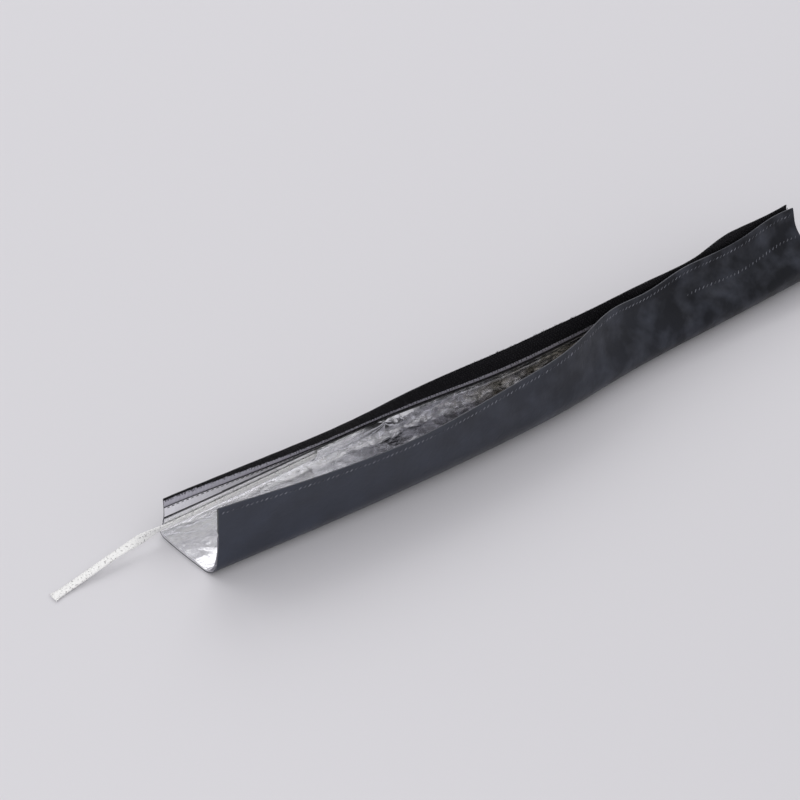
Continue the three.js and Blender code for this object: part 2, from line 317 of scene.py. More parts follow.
def facets(s, u, size, seed):
    """Heights from 0 to about 1 of crumpled facets about `size` across."""
    rng = np.random.default_rng(seed)
    width, depth = sleeve_length + 40, sheet_width + 20
    count = int(width * depth / size**2)
    seeds = rng.uniform((-20, -10), (width - 20, depth - 10), (count, 2))
    turns = rng.uniform(0, math.pi, count)
    stretch = rng.uniform(0.6, 1.7, count)
    flat_s, flat_u = np.ravel(s), np.ravel(u)
    best = np.full(flat_s.shape, 9.0)
    for (cs, cu), turn, pull in zip(seeds, turns, stretch):
        near = np.nonzero((np.abs(flat_s - cs) < 2.4 * size) & (np.abs(flat_u - cu) < 2.4 * size))[0]
        ds, du = flat_s[near] - cs, flat_u[near] - cu
        a = (ds * math.cos(turn) + du * math.sin(turn)) / pull
        b = (du * math.cos(turn) - ds * math.sin(turn)) * pull
        best[near] = np.minimum(best[near], np.maximum(np.abs(a), np.abs(b)) / size)
    return np.minimum(best, 1.2).reshape(np.shape(s))


# Each dent: place along, place round, depth, length, width
dents = [
    (299, 26, 1.7, 6, 5), (311, 30, -0.8, 9, 7), (326, 27, 0.7, 10, 4),
    (352, 25, 1.5, 18, 3.5), (357, 33, -1.0, 20, 4), (372, 22, 0.5, 8, 5),
    (236, 24, 0.6, 24, 8), (150, 20, -0.5, 30, 10), (60, 18, 0.5, 26, 9),
]


def common_wave(s, u):
    """How far all the layers swing inwards here: nothing on the foot, most on the walls."""
    place, _ = sheet_frame(s, u)
    wall = smooth_step(place[..., 2], 2.0, 12.0)
    wave = 0.35 * slow_wave(s, u, 60, 3)
    for at_s, at_u, depth, long, wide in dents:
        wave = wave + depth * np.exp(-(((s - at_s) / long) ** 2) - ((u - at_u) / wide) ** 2)
    return wall * wave


# %% [markdown]
# ## A helper for the layers
# A layer is two grids of points, an inner and an outer one, joined along their edges. This is mesh
# code because a bent sheet with an exact cut is hard to hold by hand. It also stores `s` and `u` as
# the UV map, in metres, so that a weave or a grain follows the cloth round its bends.

# %% Make a closed layer
collection = bpy.context.scene.collection


def finish_mesh(name, points, faces, uv=None, slots=None, angle=40.0):
    """A mesh object at the origin from millimetre points, smooth except at edges sharper than angle."""
    mesh = bpy.data.meshes.new(name)
    mesh.from_pydata((points * 0.001).tolist(), [], faces)
    if uv is not None:
        layer = mesh.uv_layers.new(name="cloth")
        corner_points = np.empty(len(mesh.loops), int)
        mesh.loops.foreach_get("vertex_index", corner_points)
        layer.data.foreach_set("uv", np.ravel(uv[corner_points] * 0.001))
    if slots is not None:
        mesh.polygons.foreach_set("material_index", slots)
    mesh.validate()
    piece = bpy.data.objects.new(name, mesh)
    collection.objects.link(piece)
    bpy.ops.object.select_all(action="DESELECT")
    piece.select_set(True)
    bpy.context.view_layer.objects.active = piece
    bpy.ops.object.shade_smooth_by_angle(angle=math.radians(angle))
    return piece


def layer_mesh(name, s, u, inner, outer, angle=40.0):
    """s, u, inner and outer are grids: rows along the sleeve and columns across it."""
    rows, columns = s.shape
    wave = common_wave(s, u)
    points = np.concatenate([sheet_at(s, u, face + wave).reshape(-1, 3) for face in (inner, outer)])
    at = np.arange(rows * columns).reshape(rows, columns)
    far = at + rows * columns
    inside = np.stack([at[:-1, :-1], at[1:, :-1], at[1:, 1:], at[:-1, 1:]], -1).reshape(-1, 4)
    outside = np.stack([far[:-1, :-1], far[:-1, 1:], far[1:, 1:], far[1:, :-1]], -1).reshape(-1, 4)
    rims = [
        np.stack([at[:-1, 0], far[:-1, 0], far[1:, 0], at[1:, 0]], -1),
        np.stack([at[:-1, -1], at[1:, -1], far[1:, -1], far[:-1, -1]], -1),
        np.stack([at[0, :-1], at[0, 1:], far[0, 1:], far[0, :-1]], -1),
        np.stack([at[-1, :-1], far[-1, :-1], far[-1, 1:], at[-1, 1:]], -1),
    ]
    rim = np.concatenate(rims)
    faces = np.concatenate([inside, outside, rim])
    slots = np.repeat([1, 0, 2], [len(inside), len(outside), len(rim)])
    uv = np.tile(np.stack([s, u], -1).reshape(-1, 2), (2, 1))
    piece = finish_mesh(name, points, faces.tolist(), uv, slots, angle)
    print(name, "has", 2 * len(faces), "triangles")
    return piece


def face_middles(piece):
    """The middle (s, u) of each face in millimetres, and each face's slot."""
    uv = piece.data.uv_layers["cloth"].uv
    middles = [np.mean([uv[i].vector for i in face.loop_indices], axis=0) for face in piece.data.polygons]
    slots = np.empty(len(piece.data.polygons), int)
    piece.data.polygons.foreach_get("material_index", slots)
    return np.array(middles) * 1000, slots


# %% [markdown]
# ## Materials
# One helper turns a colour written as hex into the linear numbers that Blender counts with, and one
# adds a node with its settings and links. Each finish starts from what the real one is.

# %% Helpers for materials
def linear(hex_colour):
    parts = [int(hex_colour[i:i + 2], 16) / 255 for i in (1, 3, 5)]
    return tuple(c / 12.92 if c <= 0.04045 else ((c + 0.055) / 1.055) ** 2.4 for c in parts) + (1.0,)


def add_node(material, kind, links=None, **settings):
    """Adds a node, sets its sockets by name or its own properties, and links sockets to others."""
    node = material.node_tree.nodes.new("ShaderNode" + kind)
    for key, value in settings.items():
        socket = node.inputs.get(key.replace("_", " "))
        if socket is not None:
            socket.default_value = value
        else:
            setattr(node, key, value)
    for key, output in (links or {}).items():
        target = node.inputs[key] if isinstance(key, int) else node.inputs[key.replace("_", " ")]
        material.node_tree.links.new(output, target)
    return node


def new_material(name, colour, roughness, metallic=0.0):
    material = bpy.data.materials.new(name)
    material.use_nodes = True
    shader = material.node_tree.nodes["Principled BSDF"]
    shader.inputs["Base Color"].default_value = linear(colour)
    shader.inputs["Roughness"].default_value = roughness
    shader.inputs["Metallic"].default_value = metallic
    return material, shader


def feed(material, shader, **sources):
    """Links each named socket of the shader to an output."""
    for key, output in sources.items():
        material.node_tree.links.new(output, shader.inputs[key.replace("_", " ")])


def cloth_place(material):
    """The UV map, in metres along and round the sheet."""
    return add_node(material, "UVMap", uv_map="cloth").outputs["UV"]


def noise(material, place, scale, detail, **settings):
    node = add_node(material, "TexNoise", {"Vector": place}, Scale=scale, Detail=detail, **settings)
    return node.outputs["Fac"]


def stripes(material, place, scale, way, distortion=0.0):
    """Bands that follow each other along the X or Y way of the cloth."""
    settings = {"Scale": scale, "Distortion": distortion, "bands_direction": way}
    return add_node(material, "TexWave", {"Vector": place}, **settings).outputs["Fac"]


def ranged(material, value, start, end, low, high):
    """Turns start..end into low..high and holds it beyond both. low may be an output."""
    links = {"Value": value}
    if not isinstance(low, float):
        links["To_Min"], low = low, 0.0
    settings = {"From_Min": start, "From_Max": end, "To_Min": low, "To_Max": high}
    return add_node(material, "MapRange", links, **settings).outputs["Result"]


def ramp(material, value, stops):
    """A blend of colours: stops are (place, hex colour) pairs."""
    node = add_node(material, "ValToRGB", {"Fac": value})
    elements = node.color_ramp.elements
    while len(elements) < len(stops):
        elements.new(0.5)
    for element, (place, colour) in zip(elements, stops):
        element.position = place
        element.color = linear(colour)
    return node.outputs["Color"]


def maths(material, operation, *terms):
    """Each term is a number or an output."""
    node = add_node(material, "Math", operation=operation)
    for socket, term in zip(node.inputs, terms):
        if isinstance(term, float):
            socket.default_value = term
        else:
            material.node_tree.links.new(term, socket)
    return node.outputs["Value"]


def dimmed(material, colour, share):
    return add_node(material, "VectorMath", {0: colour, "Scale": share}, operation="SCALE").outputs["Vector"]


def relief(material, height, strength, distance, below=None):
    """Raises the surface's look by a height. below is the relief that it lies on."""
    links = {"Height": height} if below is None else {"Height": height, "Normal": below}
    return add_node(material, "Bump", links, Strength=strength, Distance=distance).outputs["Normal"]


print("colour check:", [round(v, 3) for v in linear("#808080")])

# %% [markdown]
# ### PVC-coated fabric
# Plasticised PVC is calendered onto a thin cloth. It is nearly black, with a satin gloss and a fine
# grain from the roller, about half a millimetre. Handling leaves soft creases a few millimetres long.
# It is blue-grey. Its colour is painted lighter near the mouth and darker towards the shut end, for the
# light and shade that fall along it, and lighter patches of painted sheen break up the dark end.

# %% Calendered black PVC
pvc, shader = new_material("calendered_pvc", "#2A2D38", 0.36)
place = cloth_place(pvc)
grain_scale = 1600.0
grain = noise(pvc, place, grain_scale, 3.0, Roughness=0.6)
creases = noise(pvc, place, 180.0, 4.0, Roughness=0.55, Distortion=0.6)
tone = ramp(pvc, noise(pvc, place, 45.0, 2.0), [(0.3, "#1E222D"), (0.7, "#282D3A")])
along = add_node(pvc, "SeparateXYZ", {"Vector": place}).outputs["X"]
# painted light and shade: the colour is lifted near the mouth and darkened towards the shut end
painted_light_falloff = ranged(pvc, along, 0.02, 0.3, 1.3, 0.3)
# painted sheen: lighter patches where the noise is high, seen mostly towards the shut end
shade = ranged(pvc, noise(pvc, place, 75.0, 3.0), 0.42, 0.75, painted_light_falloff, 1.15)
normal = relief(pvc, creases, 0.35, 0.0006, below=relief(pvc, grain, 0.25, 0.00006))
feed(pvc, shader, Base_Color=dimmed(pvc, tone, shade), Normal=normal)
feed(pvc, shader, Roughness=ranged(pvc, creases, 0.0, 1.0, 0.26, 0.44))
feed(pvc, shader, Specular_IOR_Level=ranged(pvc, shade, 0.0, 1.0, 0.1, 0.5))
print("grain of the roller: about", round(1000 / grain_scale, 2), "mm")

# %% [markdown]
# ### The cloth side of the PVC, and its cut edge
# Turned over, the sheet shows the thin polyester cloth that carries the coating: a pale plain weave,
# painted near white for the bright reflection it shows near the mouth, with threads about 0.8 mm apart
# here, drawn coarser than the real 0.3 mm so that it shows. Further in its colour is painted darker,
# for shade. The cut edge is paler than the coating, because the knife opens the filled core.

# %% Polyester backing, cut edge, and black for painted shadow and glue
backing, shader = new_material("polyester_backing", "#A9A8B3", 0.5)
place = cloth_place(backing)
weave = maths(backing, "MULTIPLY", *(stripes(backing, place, 400.0, way, 0.4) for way in "XY"))
# painted reflection: the weave is kept near white
tone = ramp(backing, weave, [(0.0, "#E6E5EC"), (0.6, "#FCFBFF")])
along = add_node(backing, "SeparateXYZ", {"Vector": place}).outputs["X"]
# painted shade: darker further in from the mouth
painted_shade_inward = ranged(backing, along, 0.0, 0.1, 1.0, 0.25)
feed(backing, shader, Base_Color=dimmed(backing, tone, painted_shade_inward), Normal=relief(backing, weave, 0.4, 0.0001))

cut_edge, shader = new_material("cut_pvc_edge", "#6E7078", 0.6)
frayed = noise(cut_edge, cloth_place(cut_edge), 900.0, 2.0)
feed(cut_edge, shader, Base_Color=ramp(cut_edge, frayed, [(0.35, "#2E2F36"), (0.7, "#565860")]))

# A black strip of painted shadow lies in the gap between the foil and the cloth; part of it is the dark glue
# line there
gap_shadow_and_glue, shader = new_material("black_hot_melt", "#0D0D0F", 0.35)
lumps = noise(gap_shadow_and_glue, cloth_place(gap_shadow_and_glue), 500.0, 2.0)
feed(gap_shadow_and_glue, shader, Normal=relief(gap_shadow_and_glue, lumps, 0.5, 0.0002))
print("backing, cut edge and glue are ready")

# %% [markdown]
# ### Aluminium foil
# Household-thin aluminium, laminated to film so that it doesn't tear. It is a bright metal that has
# been handled, so it mirrors its surroundings softly, with fine wrinkles of 1 to 3 mm between the big
# creases that the mesh has. Further in it is duller, its colour is painted darker for shade, and lighter
# and darker patches of painted reflection stand for its facets. The kink of the hem gets painted bright
# and dark folds that spread from one point: the sine of the bearing from that point.

# %% Crinkled aluminium foil
foil, shader = new_material("crinkled_aluminium_foil", "#ECEDF0", 0.22, metallic=1.0)
place = cloth_place(foil)
cells = add_node(foil, "TexVoronoi", {"Vector": place}, Scale=300.0, feature="F1", distance="CHEBYCHEV")
wrinkle = noise(foil, place, 420.0, 5.0, Roughness=0.6, Distortion=1.2)
dull = noise(foil, place, 60.0, 3.0)
where = add_node(foil, "SeparateXYZ", {"Vector": place}).outputs
aged = maths(foil, "MULTIPLY", ranged(foil, where["X"], 0.09, 0.2, 0.0, 0.7), dull)
tint = ramp(foil, aged, [(0.0, "#FAFAFC"), (0.25, "#E4E4EA"), (0.5, "#C2BCAA")])
# painted shade: the colour is darkened further in
painted_far_shade = ranged(foil, where["X"], 0.08, 0.14, 1.0, 0.5)
patches = noise(foil, place, 170.0, 2.0, Roughness=0.4, Distortion=1.4)
# painted reflection: lighter and darker patches stand for the facets' highlights
painted_facet_light = ranged(foil, patches, 0.38, 0.6, painted_far_shade, 1.0)
# painted highlights and shade: bright and dark rays spread from the kink
ray_s = (kink_at - kink_rays_before) * 0.001
ray_u = (foil_back_edge - 0.5) * 0.001
off_s = maths(foil, "SUBTRACT", where["X"], ray_s)
off_u = maths(foil, "SUBTRACT", ray_u, where["Y"])
folds = maths(foil, "SINE", maths(foil, "MULTIPLY", maths(foil, "ARCTAN2", off_s, off_u), 9.0))
painted_kink_rays = ranged(foil, folds, -0.3, 0.3, 0.06, 1.0)
spot = add_node(foil, "VectorMath", {0: place}, operation="DISTANCE")
spot.inputs[1].default_value = (ray_s, ray_u, 0)
near = ranged(foil, spot.outputs["Value"], 0.006, 0.016, 1.0, 0.0)
shade = maths(foil, "MULTIPLY_ADD", maths(foil, "SUBTRACT", painted_kink_rays, painted_facet_light), near, painted_facet_light)
normal = relief(foil, wrinkle, 0.45, 0.0007, below=relief(foil, cells.outputs["Distance"], 0.35, 0.0004))
feed(foil, shader, Base_Color=dimmed(foil, tint, shade), Normal=normal)
feed(foil, shader, Roughness=ranged(foil, dull, 0.3, 0.7, 0.14, 0.3))
print("foil is ready")

# %% [markdown]
# ### Nylon tape, hooks and loops
# Hook and loop tape is woven nylon. Its ribs run across the tape, about 0.7 mm apart. The hooks are
# cut monofilament, smooth and a little glossy. The pile is fine thread that scatters light, so it gets
# sheen and no gloss.

# %% Woven tape, hook monofilament and loop pile
tape_cloth, shader = new_material("woven_nylon_tape", "#1E1D21", 0.7)
shader.inputs["Sheen Weight"].default_value = 0.05
shader.inputs["Specular IOR Level"].default_value = 0.15
place = cloth_place(tape_cloth)
ribs, yarn = stripes(tape_cloth, place, 450.0, "X", 0.3), stripes(tape_cloth, place, 300.0, "Y", 0.3)
weave = maths(tape_cloth, "MULTIPLY", ribs, yarn)
tone = ramp(tape_cloth, weave, [(0.0, "#0E0D10"), (0.7, "#242328")])
feed(tape_cloth, shader, Base_Color=tone, Normal=relief(tape_cloth, weave, 0.7, 0.00015))


def grown_thread(name, dark, light, roughness, sheen):
    """A fine thread whose shade varies from place to place."""
    material, shader = new_material(name, dark, roughness)
    shader.inputs["Sheen Weight"].default_value = sheen
    shader.inputs["Specular IOR Level"].default_value = 0.3
    patches = noise(material, add_node(material, "TexCoord").outputs["Object"], 250.0, 2.0)
    feed(material, shader, Base_Color=ramp(material, patches, [(0.35, dark), (0.7, light)]))
    return material


# The selvedge is woven closer and flatter; its colour is painted pale grey for the sheen it catches as a line
selvedge_painted_sheen, shader = new_material("selvedge_with_painted_sheen", "#8F8D98", 0.4)
ribs = stripes(selvedge_painted_sheen, cloth_place(selvedge_painted_sheen), 450.0, "X")
tone = ramp(selvedge_painted_sheen, ribs, [(0.0, "#9B99A4"), (0.8, "#CDCBD6")])
feed(selvedge_painted_sheen, shader, Base_Color=tone, Normal=relief(selvedge_painted_sheen, ribs, 0.4, 0.00015))
hook_nylon = grown_thread("nylon_monofilament", "#0D0D10", "#1E1D22", 0.5, 0.05)
pile_nylon = grown_thread("brushed_nylon_pile", "#121114", "#242228", 0.9, 0.5)
seam_thread = grown_thread("bonded_nylon_thread", "#34363E", "#8A8C96", 0.35, 0.2)
dark_thread = grown_thread("bonded_black_thread", "#101013", "#26262B", 0.4, 0.1)
print("tape finishes are ready")

# %% [markdown]
# ### Tinned copper
# Fine copper wires, each coated with tin, are plaited flat. Tin is a warm, pale grey metal, and many
# round wires side by side scatter the light, so the braid looks nearly white. The wires are drawn
# as fine lines along each strand, and small grey specks of painted shade stand for the gaps between strands.

# %% Tinned copper wires
tinned, shader = new_material("tinned_copper_wire", "#FBFAF7", 0.38, metallic=0.1)
wires = stripes(tinned, cloth_place(tinned), 900.0, "Y", 0.2)
# painted shade: grey specks for the gaps between strands
painted_strand_gap_shade = noise(tinned, add_node(tinned, "TexCoord").outputs["Object"], 900.0, 1.0)
tone = ramp(tinned, painted_strand_gap_shade, [(0.3, "#BDBCBB"), (0.42, "#FFFFFD")])
feed(tinned, shader, Base_Color=tone, Normal=relief(tinned, wires, 0.6, 0.00008))
print("tinned copper is ready")

# %% [markdown]
# ## The drain braid
# The braid's route is a fact of the object: it lies on the foil under its back edge, comes out of
# the mouth, turns flat and drops to the table. A flat braid is a tube that was pressed flat, so each
# strand winds round a flattened tube, and half of them wind the other way. Where two cross, one goes
# over and the other under.

# %% The braid's route
def braid_frames():
    """Places, across and upward directions, from the tip of the tail to the far end."""
    start, inward = sheet_frame(0.0, braid_middle)
    depth = braid_face + braid_thickness / 2
    start = start + depth * inward
    up = sheet_at(0.0, braid_middle + 1, depth) - start
    up /= np.linalg.norm(up)
    heading = math.radians(plan_bend) / 2
    share = np.linspace(1, 0.0, int(tail_length / 0.5) + 1)[:-1]
    fall = share**2 * (3 - 2 * share)
    along, swing = share * tail_length, tail_swing * share**2
    x = start[0] - along * math.cos(heading) + swing * math.sin(heading)
    y = start[1] + along * math.sin(heading) + swing * math.cos(heading)
    z = start[2] * (1 - fall) + braid_thickness / 2 * fall
    tail = np.stack([x, y, z], -1)
    turn = (math.pi / 2 * smooth_step(share, 0, tail_flat_at))[:, None]
    tail_across = up * np.cos(turn) + np.array([0, 1, 0]) * np.sin(turn)
    tail_up = inward * np.cos(turn) + np.array([0, 0, 1]) * np.sin(turn)
    tail_across /= np.linalg.norm(tail_across, axis=1)[:, None]
    tail_up /= np.linalg.norm(tail_up, axis=1)[:, None]
    s = np.arange(0, sleeve_length + 0.1, 0.5)
    wave = common_wave(s, np.full_like(s, braid_middle))
    fade = smooth_step(s, 0, 12)
    held = sheet_at(s, braid_middle, depth + wave * fade)
    _, held_up = sheet_frame(s, braid_middle)
    held_across = sheet_at(s, braid_middle + 1, depth + wave * fade) - held
    held_across /= np.linalg.norm(held_across, axis=1)[:, None]
    return (
        np.concatenate([tail, held]),
        np.concatenate([tail_across, held_across]),
        np.concatenate([tail_up, held_up]),
        len(tail),
    )


route, across_way, up_way, tail_steps = braid_frames()
steps_along = np.concatenate([[0], np.cumsum(np.linalg.norm(np.diff(route, axis=0), axis=1))])

# %% Plait a stretch of it
strand_count = 8
lay_length = 15.0
strand_width = 0.92


def plait(name, first, last, splay=0.0):
    """Strands between two steps of the route. splay opens the cut tip, in millimetres."""
    centre, across, up = route[first:last], across_way[first:last], up_way[first:last]
    length = steps_along[first:last]
    cells, points, faces, uv = [], [], [], []
    for way in (1, -1):
        for strand in range(strand_count):
            phase = way * length / lay_length + strand / strand_count
            phase = phase % 1.0
            sideways = 1 - 4 * np.abs(phase - 0.5)
            front = np.where(phase < 0.5, 1.0, -1.0)
            edge = np.clip((1 - np.abs(sideways)) / 0.16, 0, 1)
            over = 0.5 + 0.5 * way * np.sin(2 * math.pi * (length / lay_length * strand_count + strand * 0.5))
            lift = front * (0.07 + 0.16 * over) * edge
            reach = sideways * (braid_width / 2 - 0.35)
            opened = splay * np.clip(1 - (length - length[0]) / 7.0, 0, 1) ** 1.5
            bend = math.sin(strand * 2.4 + way)
            middle = centre + (reach * (1 + 0.12 * opened) + bend * opened * 0.5)[:, None] * across
            middle = middle + (lift + 0.25 * opened * (0.5 + 0.5 * math.cos(strand * 1.7)))[:, None] * up
            run = np.gradient(middle, axis=0)
            run /= np.linalg.norm(run, axis=1)[:, None]
            top = up * (front * edge + (1 - edge) * 0.01)[:, None]
            top = top + across * (np.sign(sideways) * (1 - edge))[:, None]
            side = np.cross(run, top)
            side /= np.maximum(np.linalg.norm(side, axis=1), 1e-6)[:, None]
            top = np.cross(side, run)
            base = len(points) and sum(len(p) for p in points)
            ring = [(-0.5, 0.0), (-0.3, 0.26), (0.3, 0.26), (0.5, 0.0), (0.28, -0.12), (-0.28, -0.12)]
            ringed = np.stack([middle + side * a * strand_width + top * b for a, b in ring], 1)
            points.append(ringed.reshape(-1, 3))
            wide = np.tile(np.array([0, 0.3, 0.9, 1.2, 0.9, 0.3]), (len(length), 1))
            uv.append(np.stack([np.tile(length[:, None], (1, 6)), wide + strand], -1).reshape(-1, 2))
            at = base + np.arange(len(length) * 6).reshape(-1, 6)
            nxt = np.roll(at, -1, axis=1)
            quads = np.stack([at[:-1], at[1:], nxt[1:], nxt[:-1]], -1).reshape(-1, 4)
            faces += quads.tolist()
            faces += [at[0].tolist(), at[-1][::-1].tolist()]
    piece = finish_mesh(name, np.concatenate(points), faces, np.concatenate(uv), angle=60.0)
    bpy.ops.object.mode_set(mode="EDIT")
    bpy.ops.mesh.select_all(action="SELECT")
    bpy.ops.mesh.normals_make_consistent(inside=False)
    bpy.ops.object.mode_set(mode="OBJECT")
    piece.data.materials.append(tinned)
    print(name, "has", sum(len(f) - 2 for f in faces), "triangles")
    return piece


tail_piece = plait("drain_braid_tail", 0, tail_steps + 3, splay=1.0)
held_piece = plait("drain_braid_run", tail_steps, len(route))
for piece, node in ((tail_piece, "braid_tail"), (held_piece, "drain_braid")):
    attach(piece, "root")
    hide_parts(node)

# %% [markdown]
# ## The jacket
# The outermost layer is the PVC sheet. Its front edge is cut straight. Its back edge is sewn to
# the hook tape, and widens to a bare strip near the mouth, where the foil was trimmed on a slant.
# Near the far end the sewing thread draws the sheet into fine upright puckers under the seam.

# %% Make the jacket
def rows_and_columns(s_values, u_values):
    return np.meshgrid(s_values, u_values, indexing="ij")


def jacket_back_edge(s):
    inward = smooth_step(s, 0, mouth_margin_length)
    return foil_back_edge + mouth_margin * (1 - inward) + jacket_margin * inward


def seam_puckers(s, u):
    """Fine folds under the loop tape's seams, deepest near the shut end."""
    ripple = np.sin(2 * math.pi * s / 3.1 + 1.5 * np.sin(s / 5.0)) * 0.5 + 0.3 * np.sin(2 * math.pi * s / 1.7)
    near = np.exp(-(((u - 6.0) / 5.0) ** 2)) + 0.7 * np.exp(-(((u - 19.0) / 5.0) ** 2))
    return 0.3 * ripple * near * (0.25 + 0.75 * smooth_step(s, 270, 340))


jacket_step = 1.25
s_lines = np.arange(0, sleeve_length + 0.1, jacket_step)
shares = np.concatenate([np.linspace(0, 1, 84) * foil_back_edge, foil_back_edge + np.linspace(0, 1, 12)[1:]])
s_grid = np.repeat(s_lines[:, None], len(shares), axis=1)
margin_share = np.clip(shares - foil_back_edge, 0, 1)[None, :]
past_foil = margin_share * (jacket_back_edge(s_grid) - foil_back_edge)
u_grid = np.minimum(shares, foil_back_edge)[None, :] + past_foil
outer = np.minimum(seam_puckers(s_grid, u_grid), 0.18)
jacket = layer_mesh("jacket_sheet", s_grid, u_grid, np.full_like(s_grid, jacket_thickness), outer)
for finish in (pvc, backing, cut_edge, gap_shadow_and_glue):
    jacket.data.materials.append(finish)
gap_shadow_width = 1.3
middles, slots = face_middles(jacket)
past_foil = middles[:, 1] - foil_back_edge
# painted shadow and glue: the cloth is made black along the foil's back edge
slots[(slots == 1) & (past_foil > -0.5) & (past_foil < gap_shadow_width)] = 3
# painted shadow: the cut rim of the jacket's back edge is made black, for the shadow line along that edge
slots[(slots == 2) & (past_foil > 0) & (middles[:, 0] > 0.1)] = 3
jacket.data.polygons.foreach_set("material_index", slots)
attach(jacket, "root")
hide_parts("jacket")

# %% [markdown]
# ## The foil
# The lining runs from the loop tape to a fold at the back. Its creases are in the mesh, because
# they change which way the bright metal faces. They fade out under the braid and the hem, where the
# foil is held flat. The hem is the strip folded down over the braid: a layer of its own here, rounded
# at the fold, with a free edge that wanders and one kink that stands up like a small tent.

# %% Make the foil lining
s_lines = np.arange(0, sleeve_length + 0.1, 1.1)
u_lines = np.linspace(foil_front_edge, foil_back_edge, 92)
s_grid, u_grid = rows_and_columns(s_lines, u_lines)
free_front = smooth_step(u_grid, foil_front_edge, foil_front_edge + 3)
creased = 1.5 * facets(s_grid, u_grid, 10.0, 11) + 0.6 * facets(s_grid, u_grid, 4.5, 12)
pressed_from, pressed_to = foil_back_edge - 14.5, foil_back_edge - 10.0
loose = np.where(u_grid > pressed_from, 1 - smooth_step(u_grid, pressed_from, pressed_to), 1.0)
crinkle = creased * loose * free_front * 0.9
lining = layer_mesh("foil_lining_sheet", s_grid, u_grid, foil_inside + crinkle,
                    foil_face + crinkle, angle=10.0)
lining.data.materials.append(foil)
lining.data.polygons.foreach_set("material_index", np.zeros(len(lining.data.polygons), int))
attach(lining, "root")
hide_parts("foil_lining")

# %% Fold the hem down over the braid
fine_to = kink_at + 40
s_lines = np.append(np.arange(hem_start, fine_to, 0.7), np.arange(fine_to, sleeve_length + 0.1, 1.4))
shares = np.linspace(0, 1, 26)
s_grid = np.repeat(s_lines[:, None], len(shares), axis=1)
free_edge = hem_free_edge + 0.5 * slow_wave(s_grid, s_grid * 0, 30, 5)
u_grid = free_edge + (foil_back_edge - free_edge) * shares[None, :]
over_braid = np.minimum(1, (u_grid - hem_free_edge) / (hem_width - braid_drop - braid_width / 2 - layer_gap))
over_braid = np.clip(over_braid, 0, 1)
tent = np.clip(1 - np.abs(s_grid - kink_at) / kink_length, 0, 1) * kink_height
kinked = tent * (1 - over_braid) ** 0.8
lower = (foil_inside + hem_rise) * (1 - over_braid) + hem_face * over_braid + kinked
lower = lower + 0.45 * facets(s_grid, u_grid, 4.5, 21) * smooth_step(s_grid, hem_start, hem_start + 3)
away = np.hypot(s_grid - kink_at, (u_grid - foil_back_edge + 1.0) * 1.3)
bearing = np.arctan2(s_grid - kink_at, foil_back_edge - 1.0 - u_grid)
rays = np.abs(((bearing * 1.6 + 0.25) % 1.0) - 0.5) * 2
lower = lower + 2.2 * rays * np.exp(-((away / 8.0) ** 2)) * np.clip(away / 1.5, 0, 1)
fold = np.sqrt(np.clip((foil_back_edge - u_grid) / 1.3, 0, 1))
lower = foil_inside + (lower - foil_inside) * fold
hem = layer_mesh("foil_hem", s_grid, u_grid, lower + foil_thickness, lower, angle=10.0)
hem.data.materials.append(foil)
hem.data.polygons.foreach_set("material_index", np.zeros(len(hem.data.polygons), int))
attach(hem, "root")
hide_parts("foil_lining")

# %% [markdown]
# ## The two tapes
# Each tape is a woven band 16 mm wide with a bare selvedge along both edges. The hook tape is sewn
# behind the jacket's back edge, and the loop tape lies inside the front one.

# %% Make both tapes
s_lines = np.arange(tape_setback, sleeve_length - tape_setback + 0.1, 2.0)
s_grid, u_grid = rows_and_columns(s_lines, np.linspace(hook_tape_edge, sheet_width, 28))
flat = np.full_like(s_grid, -layer_gap)
ragged = 0.12 * slow_wave(s_grid * 1.0, u_grid, 7, 8) * smooth_step(u_grid, sheet_width - 1.0, sheet_width)
hook_band = layer_mesh("hook_tape_band", s_grid, u_grid, flat + ragged, flat - tape_base + ragged)
hook_band.data.materials.append(tape_cloth)
hook_band.data.materials.append(selvedge_painted_sheen)
middles, sides = face_middles(hook_band)
bare = selvedge + 0.4 + bare_at_mouth * (1 - smooth_step(middles[:, 0], 10, 130))
# painted sheen: the strip of the inner face by the jacket's edge, wider near the mouth, gets the pale grey
painted_sheen_strip = middles[:, 1] < jacket_back_edge(middles[:, 0]) + bare
hook_band.data.polygons.foreach_set("material_index", (painted_sheen_strip & (sides == 1)).astype(int))

s_lines = np.arange(0, sleeve_length + 0.1, 2.0)
s_grid, u_grid = rows_and_columns(s_lines, np.linspace(loop_tape_margin, loop_tape_edge, 28))
flat = np.full_like(s_grid, foil_face)
loop_band = layer_mesh("loop_tape_band", s_grid, u_grid, flat + tape_base, flat)
loop_band.data.materials.append(tape_cloth)
loop_band.data.polygons.foreach_set("material_index", np.zeros(len(loop_band.data.polygons), int))
for band, node in ((hook_band, "hook_tape"), (loop_band, "loop_tape")):
    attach(band, "root")
    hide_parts(node)

# %% [markdown]
# ## Hooks, loops and stitches
# What repeats is modelled once, at a size where a millimetre is one Blender unit, because
# many operators merge points that lie closer than a tenth of a millimetre. Its points are then copied
# along the tape. A hook is a thin round wire: up from the band and over in a spin.

# %% Model one hook
def start_shape():
    bpy.ops.object.select_all(action="DESELECT")


def take_shape():
    """The points and faces of the shape just made. The shape itself is deleted."""
    if bpy.context.mode != "OBJECT":
        bpy.ops.object.mode_set(mode="OBJECT")
    shape = bpy.context.object
    points = np.array([tuple(shape.matrix_world @ v.co) for v in shape.data.vertices])
    faces = [list(p.vertices) for p in shape.data.polygons]
    bpy.data.objects.remove(shape)
    return points, faces


